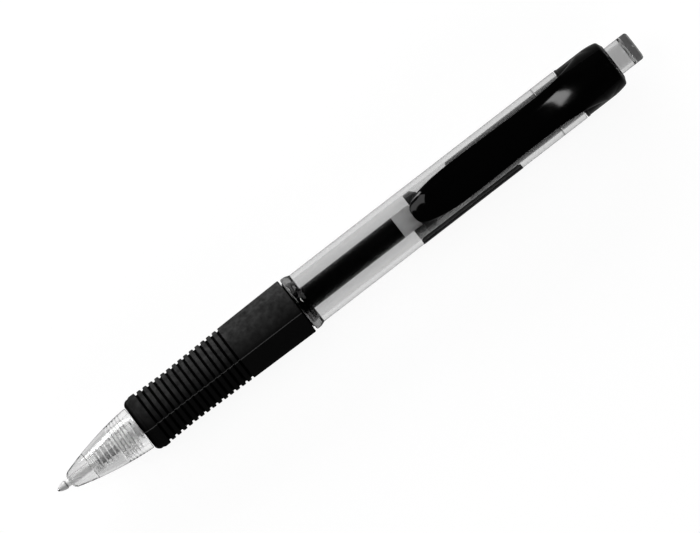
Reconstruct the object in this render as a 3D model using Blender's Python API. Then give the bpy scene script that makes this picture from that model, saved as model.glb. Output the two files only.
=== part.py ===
"""Click-action gel pen lying along X, point out towards -X, clip on top.

Sizes are in millimetres. A station is the distance from the writing ball along the axis, and every
radius is measured from that axis.
"""

import math

import bmesh
import bpy
from mathutils import Vector

MM = 0.001
LENGTH = 143.0
FACETS = 24
FIT = 0.1
SEAT = 0.3

TIP_R = 0.9
NECK_R = 0.78
BALL_R = 0.35

MOUTH_X = 3.04
MOUTH_R = 1.02
LIP_ROUND = 1.42
LIP_CENTRE_R = 0.52
LIP_FIRST = 154.0
LIP_LAST = 105.0
CONE_END_X = 20.2
CONE_END_R = 4.82
CONE_BEND = 0.00715
CONE_SLOPE = 0.0635
SPRING_SEAT_X = 8.16
SPRING_ROOM_R = 2.6
THREAD_X = 14.3
THREAD_R = 3.75

GRIP_X = 20.3
GRIP_END_X = 59.3
GRIP_DOME_R = 5.92
GRIP_ROUND = 1.42
GRIP_RING_X = 21.9
GRIP_FRONT_R = 6.08
GRIP_WAIST_X = 30.6
GRIP_WAIST_R = 5.73
GRIP_END_R = 6.25
GRIP_RIM = 0.2
GRIP_SEAT_R = 4.9
RIBS = 14
RIB_X = 24.42
RIB_PITCH = 1.439
RIB_LAND = 0.95
RIB_DEPTH = 0.45

COLLAR_X = 59.65
COLLAR_END_X = 61.6
COLLAR_R = 6.1
COLLAR_NECK_R = 5.2
BARREL_R = 5.68
BORE_R = 4.69
GRIP_BORE_R = 3.3
SPIGOT_BORE_R = 2.8
PLUG_X = 121.4
PLUG_R = 4.76
BARREL_END_X = 127.0

CAP_X = 127.2
CAP_END_X = 137.6
CAP_R = 5.55
CAP_DRAW_X = 133.6
CAP_DRAW_R = 13.0
CAP_DRAW_END = 76.0
CAP_CORNER_R = 0.8

CLIP_TIP_X = 88.05
CLIP_HALF_WIDTH = 3.92
CLIP_WAIST_HALF_WIDTH = 3.76
CLIP_ROOT_X = 136.7
CLIP_ROOT_TOP = 5.1
CLIP_BEND_X = 117.0
CLIP_TOP = 8.65
CLIP_UNDER = 7.0
CLIP_PAD_X = 92.2

BUTTON_R = 3.12
PLUNGER_R = 2.75
PLUNGER_X = 109.75
BUTTON_WALL = 0.8
BUTTON_FACE = 1.6

SLEEVE_X = 99.2
SLEEVE_END_X = 125.0
SLEEVE_R = 4.4
SLEEVE_BORE_R = 3.9
SLEEVE_NECK_R = 4.05
RAILS = 4
RAIL_X = 108.0
STOP_X = 121.2
RAIL_R = 3.2
RAIL_ANGLE = 20.0
RAMP_PER_DEGREE = 0.1
FIN_R = 3.65
CROWN_TEETH = 8
CROWN_HEIGHT = 0.6

BUSH_X = 88.8
BUSH_END_X = 91.4
BUSH_R = 4.3
TUBE_X = 24.3
TUBE_END_X = 90.5
TUBE_R = 2.45
TUBE_BORE_R = 2.05
INK_END_X = 84.35
GREASE_END_X = 88.6
HOLDER_X = 9.5
HOLDER_R = 1.3
SHOULDER_X = 22.5
SHOULDER_R = 2.4

SPRING_R = 2.08
WIRE_R = 0.16
SPRING_TURNS = 12
TURN_POINTS = 10

AXIS_Z = GRIP_END_R * math.cos(math.pi / FACETS)


def world_x(station):
    """World x, in metres, of a station along the pen."""
    return (station - LENGTH / 2) * MM


def material(name, colour, roughness, metallic=0.0, clear=0.0):
    """Principled material of one sub-part."""
    made = bpy.data.materials.new(name)
    made.use_nodes = True
    shader = made.node_tree.nodes["Principled BSDF"]
    shader.inputs["Base Color"].default_value = (*colour, 1.0)
    shader.inputs["Roughness"].default_value = roughness
    shader.inputs["Metallic"].default_value = metallic
    shader.inputs["Transmission Weight"].default_value = clear
    return made


def add_object(name, bm, at, look):
    """Object with its origin on the pen's axis at a station, closed faces pointing out."""
    bmesh.ops.remove_doubles(bm, verts=bm.verts, dist=1e-7)
    bmesh.ops.recalc_face_normals(bm, faces=bm.faces)
    mesh = bpy.data.meshes.new(name)
    bm.to_mesh(mesh)
    bm.free()
    mesh.shade_smooth()
    mesh.set_sharp_from_angle(angle=math.radians(35))
    if look:
        mesh.materials.append(look)
    made = bpy.data.objects.new(name, mesh)
    made.location = (world_x(at), 0.0, AXIS_Z * MM)
    bpy.context.scene.collection.objects.link(made)
    return made


def turned(outline, at, facets):
    """Bmesh of a closed outline of (station, radius) points spun round the pen's axis."""
    bm = bmesh.new()
    start = math.pi / facets
    ring = []
    for station, radius in outline:
        side = radius * math.sin(start)
        up = radius * math.cos(start)
        ring.append(bm.verts.new(Vector((station - at, side, up)) * MM))
    edges = [bm.edges.new((a, b)) for a, b in zip(ring, ring[1:] + ring[:1])]
    bmesh.ops.spin(
        bm,
        geom=ring + edges,
        cent=(0, 0, 0),
        axis=(1, 0, 0),
        angle=math.tau,
        steps=facets,
        use_merge=True,
    )
    return bm


def turned_object(name, outline, look, at=None, facets=FACETS):
    """Turned sub-part, its origin at its first station unless told otherwise."""
    at = outline[0][0] if at is None else at
    return add_object(name, turned(outline, at, facets), at, look)


def arc(centre, radius, first, last, steps):
    """Points (station, radius) of a circular arc between two angles in degrees."""
    points = []
    for step in range(steps + 1):
        angle = math.radians(first + (last - first) * step / steps)
        points.append((centre[0] + radius * math.cos(angle), centre[1] + radius * math.sin(angle)))
    return points


def add_sector(bm, at, inner, outer, middle, width, front, rear, steps=4):
    """Closed ring sector; front and rear give its end stations at an angle from its middle."""
    loops = []
    for step in range(steps + 1):
        offset = width * (step / steps - 0.5)
        angle = math.radians(middle + offset)
        way = Vector((0.0, math.sin(angle), math.cos(angle)))
        corners = []
        for station, radius in (
            (front(offset), inner),
            (front(offset), outer),
            (rear(offset), outer),
            (rear(offset), inner),
        ):
            place = Vector((station - at, 0.0, 0.0)) + way * radius
            corners.append(bm.verts.new(place * MM))
        loops.append(corners)
    for first, second in zip(loops, loops[1:]):
        for k in range(4):
            bm.faces.new((first[k - 1], first[k], second[k], second[k - 1]))
    bm.faces.new(loops[0])
    bm.faces.new(loops[-1])


def joined(target, operation, bm, at):
    """Boolean of a tool mesh on a sub-part, the tool kept as a hidden wire guide."""
    tool = add_object(target.name + "_" + operation.lower(), bm, at, None)
    tool.hide_render = True
    tool.display_type = "WIRE"
    cut = target.modifiers.new(operation.title(), "BOOLEAN")
    cut.operation = operation
    cut.object = tool
    cut.solver = "EXACT"


def smooth_between(station, stops):
    """Height on a smooth line through (station, height) stops, level at each of them."""
    for (x0, h0), (x1, h1) in zip(stops, stops[1:]):
        if station <= x1:
            t = max(0.0, (station - x0) / (x1 - x0))
            return h0 + (h1 - h0) * t * t * (3 - 2 * t)
    return stops[-1][1]


def build_point(steel, clear_grey):
    """Ball, turned metal point and the plastic holder that carries it."""
    socket = BALL_R + 0.03
    channel = 0.2
    lip_x, lip_r = 0.42, 0.45
    bullet_end = 2.1
    shank_end = 13.0
    nose = []
    for step in range(6):
        share = step / 5
        station = lip_x + (bullet_end - lip_x) * share
        nose.append((station, lip_r + (TIP_R - lip_r) * math.sin(share * math.pi / 2)))
    outline = nose + [
        (bullet_end + 0.15, NECK_R),
        (shank_end, NECK_R),
        (shank_end, channel),
        (BALL_R * 2 + 0.15, channel),
        (BALL_R * 2, socket),
        (lip_x, socket),
    ]
    turned_object("metal_tip", outline, steel, facets=16)

    ball = bmesh.new()
    bmesh.ops.create_uvsphere(ball, u_segments=12, v_segments=8, radius=BALL_R * MM)
    add_object("writing_ball", ball, BALL_R, steel)

    grip_r = NECK_R + FIT
    plug_r = TUBE_BORE_R - FIT
    outline = [
        (HOLDER_X, grip_r),
        (HOLDER_X, HOLDER_R - 0.2),
        (HOLDER_X + 0.3, HOLDER_R),
        (SHOULDER_X - 1.5, HOLDER_R + 0.1),
        (SHOULDER_X, HOLDER_R + 0.1),
        (SHOULDER_X, SHOULDER_R),
        (TUBE_X - SEAT, SHOULDER_R),
        (TUBE_X - SEAT, plug_r),
        (TUBE_X + 3.0, plug_r),
        (TUBE_X + 3.0, 0.5),
        (shank_end + SEAT, 0.5),
        (shank_end + SEAT, grip_r),
    ]
    turned_object("tip_holder", outline, clear_grey)


def build_refill(clear_grey, ink, grease, black):
    """Refill tube with its gel, follower grease and the bush on its end that centres it."""
    fill_r = TUBE_BORE_R - FIT
    outline = [
        (TUBE_X, TUBE_BORE_R),
        (TUBE_X, TUBE_R - 0.15),
        (TUBE_X + 0.3, TUBE_R),
        (TUBE_END_X, TUBE_R),
        (TUBE_END_X, TUBE_BORE_R),
    ]
    turned_object("refill_tube", outline, clear_grey)

    ink_x = TUBE_X + 3.0 + SEAT
    dome = [(INK_END_X, fill_r), (INK_END_X + 0.25, fill_r * 0.6), (INK_END_X + 0.35, 0.0)]
    turned_object("gel_ink", [(ink_x, 0.0), (ink_x, fill_r)] + dome, ink)

    grease_x = INK_END_X + 0.1
    hollow = [(grease_x + 0.35, fill_r * 0.6), (grease_x + 0.45, 0.0)]
    outline = [(GREASE_END_X, 0.0), (GREASE_END_X, fill_r), (grease_x, fill_r)] + hollow
    turned_object("follower_grease", outline, grease)

    vent_r = 0.7
    socket_r = TUBE_R + FIT
    socket_end = TUBE_END_X + SEAT
    outline = [
        (BUSH_X, socket_r),
        (BUSH_X, BUSH_R),
        (BUSH_X + 1.6, BUSH_R),
        (BUSH_END_X, BUSH_R - 1.0),
        (BUSH_END_X, vent_r),
        (socket_end, vent_r),
        (socket_end, socket_r),
    ]
    turned_object("refill_bush", outline, black)


def build_spring(steel):
    """Return spring: one helical wire, its turns' least gap measured on the points."""
    first = SPRING_SEAT_X + SEAT + WIRE_R
    last = SHOULDER_X - SEAT - WIRE_R
    count = SPRING_TURNS * TURN_POINTS + 1
    points = []
    for k in range(count):
        angle = math.tau * k / TURN_POINTS
        station = first + (last - first) * k / (count - 1)
        side = SPRING_R * math.sin(angle)
        points.append(Vector((station - first, side, SPRING_R * math.cos(angle))))
    apart = [
        (points[i] - points[j]).length
        for i in range(count)
        for j in range(i + TURN_POINTS // 2, count)
    ]
    print("return_spring least gap between turns, mm:", round(min(apart) - 2 * WIRE_R, 3))

    curve = bpy.data.curves.new("return_spring", "CURVE")
    curve.dimensions = "3D"
    curve.bevel_depth = WIRE_R * MM
    curve.bevel_resolution = 1
    curve.use_fill_caps = True
    line = curve.splines.new("POLY")
    line.points.add(count - 1)
    for point, place in zip(line.points, points):
        point.co = (*(place * MM), 1.0)
    curve.materials.append(steel)
    spring = bpy.data.objects.new("return_spring", curve)
    spring.location = (world_x(first), 0.0, AXIS_Z * MM)
    bpy.context.scene.collection.objects.link(spring)


def build_nose_cone(clear):
    """Clear bullet cone: rounded lip, point hole, spring seat, spring room and thread bore."""
    lip_x = MOUTH_X - LIP_ROUND * math.cos(math.radians(LIP_FIRST))
    lip = arc((lip_x, LIP_CENTRE_R), LIP_ROUND, LIP_FIRST, LIP_LAST, 4)
    side = []
    for step in range(9):
        back = (CONE_END_X - lip[-1][0] - 0.3) * (1 - step / 8)
        side.append((CONE_END_X - back, CONE_END_R - CONE_SLOPE * back - CONE_BEND * back * back))
    inside = [
        (CONE_END_X, THREAD_R + 0.1),
        (THREAD_X + 0.2, THREAD_R + 0.1),
        (THREAD_X, THREAD_R - 0.3),
        (SPRING_SEAT_X, SPRING_ROOM_R),
        (SPRING_SEAT_X, MOUTH_R),
        (MOUTH_X, MOUTH_R),
    ]
    turned_object("nose_cone", lip + side + inside, clear)


def grip_radius(station):
    """Outline of the grip: narrowest at the waist, opening to both ends."""
    reach = abs(station - GRIP_WAIST_X) / (GRIP_END_X - GRIP_RIM - GRIP_WAIST_X)
    return GRIP_WAIST_R + (GRIP_END_R - GRIP_WAIST_R) * reach**0.75


def build_grip(rubber):
    """Rubber sleeve: domed front, raised ring, square ribs and a plain rear part."""
    inner = GRIP_SEAT_R + FIT
    ring_end = RIB_X - RIB_PITCH + RIB_LAND / 2
    outline = [(GRIP_X + 0.1, inner)]
    outline += arc((GRIP_X + GRIP_ROUND, GRIP_DOME_R - GRIP_ROUND), GRIP_ROUND, 158, 90, 5)
    outline += [(GRIP_RING_X, GRIP_DOME_R), (GRIP_RING_X + 0.3, GRIP_FRONT_R)]
    outline.append((ring_end, GRIP_FRONT_R - 0.03))
    for rib in range(RIBS):
        middle = RIB_X + rib * RIB_PITCH
        top = grip_radius(middle)
        front = middle - RIB_LAND / 2
        outline.append((front - (RIB_PITCH - RIB_LAND), top - RIB_DEPTH))
        outline.append((front, top - RIB_DEPTH))
        outline.append((front, top))
        outline.append((front + RIB_LAND, top))
    rear = RIB_X + RIBS * RIB_PITCH - RIB_LAND / 2
    outline.append((rear - (RIB_PITCH - RIB_LAND), grip_radius(rear) - RIB_DEPTH))
    outline.append((rear, grip_radius(rear) - RIB_DEPTH))
    for step in range(4):
        station = rear + (GRIP_END_X - GRIP_RIM - rear) * step / 3
        outline.append((station, grip_radius(station)))
    outline += [(GRIP_END_X, GRIP_END_R - GRIP_RIM), (GRIP_END_X, inner)]
    turned_object("grip_sleeve", outline, rubber)


def build_barrel(clear):
    """One clear tube: thread spigot, seat under the grip, rounded collar, barrel, plug bore."""
    spigot_x = THREAD_X + 0.5
    spigot_r = THREAD_R - FIT
    shoulder_x = CONE_END_X + SEAT
    collar = arc((COLLAR_X + 0.45, COLLAR_R - 0.45), 0.45, 180, 90, 3)
    collar += arc((COLLAR_X + 0.7, COLLAR_R - 2.6), 2.6, 88, 68, 3)
    outline = [
        (spigot_x, SPIGOT_BORE_R),
        (spigot_x, spigot_r - 0.2),
        (spigot_x + 0.3, spigot_r),
        (shoulder_x, spigot_r),
        (shoulder_x, GRIP_SEAT_R),
        (GRIP_END_X + 0.1, GRIP_SEAT_R),
        (GRIP_END_X + 0.1, COLLAR_NECK_R),
        (COLLAR_X, COLLAR_NECK_R),
    ]
    outline += collar
    outline += [
        (COLLAR_END_X + 0.1, BARREL_R),
        (BARREL_END_X - 0.2, BARREL_R),
        (BARREL_END_X, BARREL_R - 0.15),
        (BARREL_END_X, PLUG_R),
        (PLUG_X, PLUG_R),
        (PLUG_X, BORE_R),
        (COLLAR_X, BORE_R),
        (COLLAR_X - 1.5, GRIP_BORE_R),
        (shoulder_x + 4.0, GRIP_BORE_R),
        (shoulder_x + 3.0, SPIGOT_BORE_R),
    ]
    turned_object("barrel", outline, clear)


def clip_half_width(station):
    """Half width from above: round tip, arm drawn in to a waist, flare out to the cap's sides."""
    tip_length = 13.0
    flare_end = 132.4
    reach = min(1.0, (station - CLIP_TIP_X) / tip_length)
    arm_stops = [(CLIP_TIP_X + tip_length, CLIP_HALF_WIDTH), (CLIP_BEND_X, CLIP_WAIST_HALF_WIDTH)]
    width = smooth_between(station, arm_stops) * (1 - (1 - reach) ** 2.6) ** 0.32
    if station > CLIP_BEND_X:
        open_part = min(1.0, (station - CLIP_BEND_X) / (flare_end - CLIP_BEND_X))
        width += (CAP_R - CLIP_WAIST_HALF_WIDTH - 0.05) * open_part**3
    if station > flare_end:
        width -= 0.17 * (station - flare_end)
    return width


def clip_section(station):
    """Points (side, up) round the clip at a station: crowned bar, then an arch over the cap."""
    under_stops = [
        (CLIP_TIP_X, CLIP_UNDER - 0.1),
        (CLIP_PAD_X - 1.2, BARREL_R + SEAT),
        (CLIP_PAD_X + 1.0, BARREL_R + SEAT),
        (CLIP_PAD_X + 5.0, CLIP_UNDER),
        (CAP_X - 2.5, CLIP_UNDER),
        (CAP_X + SEAT, BARREL_R + SEAT),
        (CAP_X + 1.0, CAP_R - 1.1),
        (CLIP_ROOT_X, CAP_R - 1.5),
    ]
    top_stops = [
        (CLIP_TIP_X, CLIP_UNDER + 0.25),
        (CLIP_TIP_X + 4.5, CLIP_TOP - 0.4),
        (CLIP_BEND_X, CLIP_TOP),
    ]
    under = smooth_between(station, under_stops)
    bend = max(0.0, (station - CLIP_BEND_X) / (CLIP_ROOT_X - CLIP_BEND_X))
    top = smooth_between(station, top_stops) - (CLIP_TOP - CLIP_ROOT_TOP) * bend**2
    width = clip_half_width(station)
    arch = smooth_between(station, [(CAP_X, 0.0), (CAP_X + 6.0, 1.0)])
    crown = min(0.55, 0.16 * width)
    foot = under + (top - crown - under) * 0.3
    foot += (min(foot, CAP_R * 0.2) - foot) * arch
    points = []
    for step in range(-4, 5):
        angle = step / 4 * math.pi / 2
        bar_side = width * math.copysign(abs(math.sin(angle)) ** 0.62, angle)
        bar_up = foot + (top - foot) * math.cos(angle) ** 0.4
        bar_up -= crown * math.sin(angle) ** 2 * math.cos(angle) ** 0.4
        arch_side = width * math.sin(angle)
        arch_up = foot + (top - foot) * math.cos(angle)
        side = bar_side + (arch_side - bar_side) * arch
        points.append((side, bar_up + (arch_up - bar_up) * arch))
    low = min(under, foot - 0.05)
    for share in (0.85, 0.4, -0.4, -0.85):
        points.append((width * share, low))
    return points


def build_cap(black):
    """Cap with its long clip: turned shell, clip lofted through sections, bores cut last."""
    lip_r = BARREL_R - 0.02
    drawn = arc((CAP_DRAW_X, CAP_R - CAP_DRAW_R), CAP_DRAW_R, 90, CAP_DRAW_END, 4)
    inward = math.radians(CAP_DRAW_END)
    corner_x = drawn[-1][0] - CAP_CORNER_R * math.cos(inward)
    corner_r = drawn[-1][1] - CAP_CORNER_R * math.sin(inward)
    outline = [(PLUG_X + SEAT, 0.0), (PLUG_X + SEAT, PLUG_R - FIT), (CAP_X, PLUG_R - FIT)]
    outline += [(CAP_X, lip_r), (CAP_X + 0.5, lip_r), (CAP_X + 0.6, CAP_R)]
    outline += drawn
    outline += arc((corner_x, corner_r), CAP_CORNER_R, 60, 10, 3)
    outline.append((CAP_END_X + 0.1, BUTTON_R + 0.6))
    outline.append((CAP_END_X + 0.1, 0.0))
    cap = turned_object("cap_clip", outline, black, at=CAP_X)

    stations = [CLIP_TIP_X + d for d in (0.02, 0.15, 0.45, 1.0, 1.8, 2.9, 3.9, 5.0, 7.0, 9.5, 13.0)]
    stations += [108.0, 115.0, 118.0, 121.0, 123.0, 124.7, 126.2, 127.4, 127.9, 128.4]
    stations += [129.8, 131.2, 132.6, 134.0, 135.4, CLIP_ROOT_X]
    clip = bmesh.new()
    loops = []
    for station in stations:
        section = clip_section(station)
        loops.append([clip.verts.new(Vector((station - CAP_X, y, z)) * MM) for y, z in section])
    for first, second in zip(loops, loops[1:]):
        for k in range(len(first)):
            clip.faces.new((first[k - 1], first[k], second[k], second[k - 1]))
    clip.faces.new(loops[0])
    clip.faces.new(loops[-1])
    joined(cap, "UNION", clip, CAP_X)

    hole_r = BUTTON_R + 0.2
    socket_end = SLEEVE_END_X + SEAT
    room_end = CAP_END_X - 1.4
    front = PLUG_X - 1.0
    hollow = [(front, 0.0), (front, SLEEVE_NECK_R + FIT), (socket_end, SLEEVE_NECK_R + FIT)]
    hollow += [(socket_end, SLEEVE_BORE_R), (room_end, SLEEVE_BORE_R), (room_end, hole_r)]
    hollow += [(CAP_END_X + 1.0, hole_r), (CAP_END_X + 1.0, 0.0)]
    joined(cap, "DIFFERENCE", turned(hollow, CAP_X, FACETS), CAP_X)


def build_cam(black):
    """Cam sleeve with ramped rails, and the rotor whose fins ride on those ramps."""
    outline = [
        (SLEEVE_X, SLEEVE_BORE_R),
        (SLEEVE_X, SLEEVE_R - 0.2),
        (SLEEVE_X + 0.5, SLEEVE_R),
        (PLUG_X, SLEEVE_R),
        (PLUG_X, SLEEVE_NECK_R),
        (SLEEVE_END_X, SLEEVE_NECK_R),
        (SLEEVE_END_X, RAIL_R),
        (STOP_X, RAIL_R),
        (STOP_X, SLEEVE_BORE_R),
    ]
    sleeve = turned_object("cam_sleeve", outline, black)
    rails = bmesh.new()
    for k in range(RAILS):
        add_sector(
            rails,
            SLEEVE_X,
            RAIL_R,
            (SLEEVE_R + SLEEVE_BORE_R) / 2,
            k * 360 / RAILS,
            RAIL_ANGLE,
            lambda offset: RAIL_X - offset * RAMP_PER_DEGREE,
            lambda offset: STOP_X + 0.2,
        )
    joined(sleeve, "UNION", rails, SLEEVE_X)

    stem_x = BUSH_END_X + SEAT
    stem_r = 1.9
    head_r = PLUNGER_R
    fin_length = 3.4
    head_x = RAIL_X - SEAT - fin_length
    head_end = PLUNGER_X - SEAT - CROWN_HEIGHT
    outline = [
        (stem_x, 0.0),
        (stem_x, stem_r - 0.3),
        (stem_x + 0.3, stem_r),
        (head_x - 1.0, stem_r),
        (head_x, head_r),
        (head_end, head_r),
        (head_end, 0.0),
    ]
    rotor = turned_object("cam_rotor", outline, black)
    fins = bmesh.new()
    for k in range(RAILS):
        add_sector(
            fins,
            stem_x,
            head_r - 0.6,
            FIN_R,
            k * 360 / RAILS,
            RAIL_ANGLE,
            lambda offset: head_x + 0.2,
            lambda offset: RAIL_X - SEAT - offset * RAMP_PER_DEGREE,
        )
    joined(rotor, "UNION", fins, stem_x)
    crown = bmesh.new()
    add_crown(crown, stem_x, head_end - 0.3, head_end, CROWN_HEIGHT)
    joined(rotor, "UNION", crown, stem_x)


def add_crown(bm, at, root, face, height):
    """Ring of pointed teeth rising from a face; a negative height points them forward."""
    pitch = 360 / CROWN_TEETH
    half = pitch * 0.4
    for k in range(CROWN_TEETH):
        add_sector(
            bm,
            at,
            PLUNGER_R - 0.5,
            PLUNGER_R - 0.1,
            (k + 0.5) * pitch,
            half * 2,
            lambda offset: root,
            lambda offset: face + height * (1 - abs(offset) / half * 0.9),
            steps=2,
        )


def build_button(smoke):
    """Hollow push button: thick end face, head in the cap's hole, plunger with fins and crown."""
    head_x = 122.5
    face_x = LENGTH
    bore_r = BUTTON_R - BUTTON_WALL
    ring_x = PLUNGER_X + CROWN_HEIGHT
    corner = arc((face_x - 0.6, BUTTON_R - 0.6), 0.6, 90, 0, 3)
    outline = [
        (ring_x, bore_r - 0.25),
        (ring_x, PLUNGER_R),
        (head_x - 0.4, PLUNGER_R),
        (head_x, BUTTON_R),
    ]
    outline += corner
    outline += [(face_x, 0.0), (face_x - BUTTON_FACE, 0.0), (face_x - BUTTON_FACE, bore_r)]
    outline += [(head_x, bore_r), (head_x - 0.4, bore_r - 0.25)]
    button = turned_object("push_button", outline, smoke)
    fins = bmesh.new()
    for k in range(RAILS):
        add_sector(
            fins,
            ring_x,
            PLUNGER_R - 0.3,
            FIN_R,
            (k + 0.5) * 360 / RAILS,
            RAIL_ANGLE * 1.5,
            lambda offset: ring_x + 2.6,
            lambda offset: ring_x + 6.0,
        )
    joined(button, "UNION", fins, ring_x)
    crown = bmesh.new()
    add_crown(crown, ring_x, ring_x + 0.2, ring_x, -CROWN_HEIGHT)
    joined(button, "UNION", crown, ring_x)


for old in list(bpy.data.objects):
    bpy.data.objects.remove(old)

clear_plastic = material("clear plastic", (0.86, 0.86, 0.86), 0.06, clear=1.0)
cloudy_plastic = material("cloudy plastic", (0.62, 0.62, 0.62), 0.3, clear=0.5)
smoky_plastic = material("smoky plastic", (0.4, 0.4, 0.4), 0.12, clear=0.7)
black_plastic = material("black gloss plastic", (0.006, 0.006, 0.006), 0.12)
black_rubber = material("black rubber", (0.012, 0.012, 0.012), 0.6)
black_gel = material("black gel", (0.003, 0.003, 0.003), 0.2)
grey_grease = material("grey grease", (0.2, 0.2, 0.2), 0.35)
bright_steel = material("bright steel", (0.6, 0.6, 0.6), 0.2, metallic=1.0)

build_point(bright_steel, cloudy_plastic)
build_refill(cloudy_plastic, black_gel, grey_grease, black_plastic)
build_spring(bright_steel)
build_nose_cone(clear_plastic)
build_barrel(clear_plastic)
build_grip(black_rubber)
build_cam(black_plastic)
build_cap(black_plastic)
build_button(smoky_plastic)
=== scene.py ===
"""Looks of a click-action gel pen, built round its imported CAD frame.

Lengths along the pen are stations: millimetres from the front of the writing ball, point out.
"""

import math

import bmesh
import bpy
import numpy as np
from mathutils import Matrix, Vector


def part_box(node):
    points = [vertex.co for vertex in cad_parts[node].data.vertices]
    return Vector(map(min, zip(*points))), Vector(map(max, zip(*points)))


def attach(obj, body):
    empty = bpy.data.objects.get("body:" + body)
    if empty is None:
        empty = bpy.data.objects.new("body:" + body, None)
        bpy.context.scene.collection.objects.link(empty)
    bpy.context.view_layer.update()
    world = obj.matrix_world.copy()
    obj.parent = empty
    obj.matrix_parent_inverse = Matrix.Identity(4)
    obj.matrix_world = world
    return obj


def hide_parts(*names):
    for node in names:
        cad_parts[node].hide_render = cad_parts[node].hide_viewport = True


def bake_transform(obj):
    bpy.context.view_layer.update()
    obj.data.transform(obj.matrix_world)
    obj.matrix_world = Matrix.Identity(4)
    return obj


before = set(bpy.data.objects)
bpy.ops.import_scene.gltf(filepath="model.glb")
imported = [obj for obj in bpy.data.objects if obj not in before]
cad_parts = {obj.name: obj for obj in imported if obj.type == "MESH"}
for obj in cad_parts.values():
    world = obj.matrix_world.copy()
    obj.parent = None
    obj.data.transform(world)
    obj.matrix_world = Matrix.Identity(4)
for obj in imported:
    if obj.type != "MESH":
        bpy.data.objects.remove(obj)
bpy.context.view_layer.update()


# Writing ball: a 0.7 mm carbide ball, ground and polished, free to roll in the point.
# The point's lip is spun over it, so it shows only as a bright bead at the very front.
MM = 0.001
BALL_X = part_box("writing_ball")[0].x
AXIS_Z = (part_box("barrel")[0].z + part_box("barrel")[1].z) / 2
BALL_R = (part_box("writing_ball")[1].x - BALL_X) / 2 / MM


def even_angles(count=160):
    """Angles round the pen from straight up towards +Y, evenly spaced."""
    return np.linspace(0, 2 * np.pi, count, endpoint=False)


def grid_mesh(name, points, wrap):
    """Mesh of a (rows, columns, 3) grid: columns close into rings, and rows close where wrap says so.

    Rows drawn in to one point become poles, and repeated points merge.
    """
    rows, columns = points.shape[:2]
    index = np.arange(rows * columns).reshape(rows, columns)
    ahead = np.roll(index, -1, axis=0)
    corners = [index, ahead, np.roll(ahead, -1, axis=1), np.roll(index, -1, axis=1)]
    faces = np.stack(corners, axis=-1)[: rows if wrap else rows - 1]
    mesh = bpy.data.meshes.new(name)
    mesh.from_pydata(points.reshape(-1, 3), [], faces.reshape(-1, 4))
    bm = bmesh.new()
    bm.from_mesh(mesh)
    bmesh.ops.remove_doubles(bm, verts=bm.verts, dist=1e-7)
    loose = [edge for edge in bm.edges if not edge.link_faces]
    bmesh.ops.delete(bm, geom=loose, context="EDGES")
    bmesh.ops.recalc_face_normals(bm, faces=bm.faces)
    bm.to_mesh(mesh)
    bm.free()
    mesh.shade_smooth()
    mesh.set_sharp_from_angle(angle=math.radians(38))
    piece = bpy.data.objects.new(name, mesh)
    bpy.context.scene.collection.objects.link(piece)
    return piece


def turned(name, station, radius, angles=None, wrap=True):
    """Solid of revolution: point (k, a) = (station k, radius k sin a, radius k cos a) about the pen's axis.

    station and radius follow an outline in mm; either may be a (k, a) array where it varies with the angle.
    """
    angles = even_angles() if angles is None else angles
    shape = (len(station), len(angles))
    station = np.broadcast_to(station if station.ndim == 2 else station[:, None], shape)
    radius = np.broadcast_to(radius if radius.ndim == 2 else radius[:, None], shape)
    x = BALL_X + station * MM
    y = radius * MM * np.sin(angles)
    z = AXIS_Z + radius * MM * np.cos(angles)
    return grid_mesh(name, np.stack([x, y, z], axis=-1), wrap)


class Field:
    """A value over a surface: a socket of one material, whose arithmetic adds Math nodes."""

    def __init__(self, tree, socket):
        self.tree = tree
        self.socket = socket

    def node(self, kind, settings, inputs, output=0):
        """Any node: its settings first, then its sockets' values or links."""
        made = self.tree.nodes.new("ShaderNode" + kind)
        for key, value in settings.items():
            setattr(made, key, value)
        for key, value in inputs.items():
            if isinstance(value, Field):
                self.tree.links.new(value.socket, made.inputs[key])
            else:
                made.inputs[key].default_value = value
        return Field(self.tree, made.outputs[output])

    def math(self, operation, first, second=0.0):
        """A Math node on one or two values."""
        return self.node("Math", {"operation": operation}, {0: first, 1: second})

    def __add__(self, other):
        return self.math("ADD", self, other)

    def __radd__(self, other):
        return self.math("ADD", other, self)

    def __sub__(self, other):
        return self.math("SUBTRACT", self, other)

    def __rsub__(self, other):
        return self.math("SUBTRACT", other, self)

    def __mul__(self, other):
        return self.math("MULTIPLY", self, other)

    def __rmul__(self, other):
        return self.math("MULTIPLY", other, self)

    def ramp(self, start, end):
        """0 at start, 1 at end, straight between and level outside."""
        return self.node("MapRange", {}, {"Value": self, "From Min": start, "From Max": end})

    def grey(self):
        """The value as a grey colour."""
        return self.node("CombineColor", {}, {"Red": self, "Green": self, "Blue": self})

    def to(self, socket):
        """Feeds a shader socket."""
        self.tree.links.new(self.socket, socket)


def finish(name, **constants):
    """New material: its Principled sockets set to constants. Returns material, shader inputs and place."""
    made = bpy.data.materials.new(name)
    made.use_nodes = True
    shader = made.node_tree.nodes["Principled BSDF"]
    for key, value in constants.items():
        socket = shader.inputs[key.replace("_", " ").title().replace("Ior", "IOR")]
        socket.default_value = (*value, 1.0) if isinstance(value, tuple) else value
    texture = made.node_tree.nodes.new("ShaderNodeTexCoord")
    return made, shader.inputs, Field(made.node_tree, texture.outputs["Object"])


def grain(place, size_mm, stretch=(1, 1, 1), detail=2.0):
    """Noise from 0 to 1 with features of one size in mm, drawn out along the axes given."""
    scaled = place.node("Mapping", {}, {"Vector": place, "Scale": tuple(1 / s for s in stretch)})
    return place.node("TexNoise", {}, {"Vector": scaled, "Scale": 1 / (size_mm * MM), "Detail": detail})


def bumped(height, depth_mm, sockets):
    """Feeds a height field of 0 to 1 into the normal, with that depth in mm at 1."""
    height.node("Bump", {}, {"Height": height, "Distance": depth_mm * MM}).to(sockets["Normal"])


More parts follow.
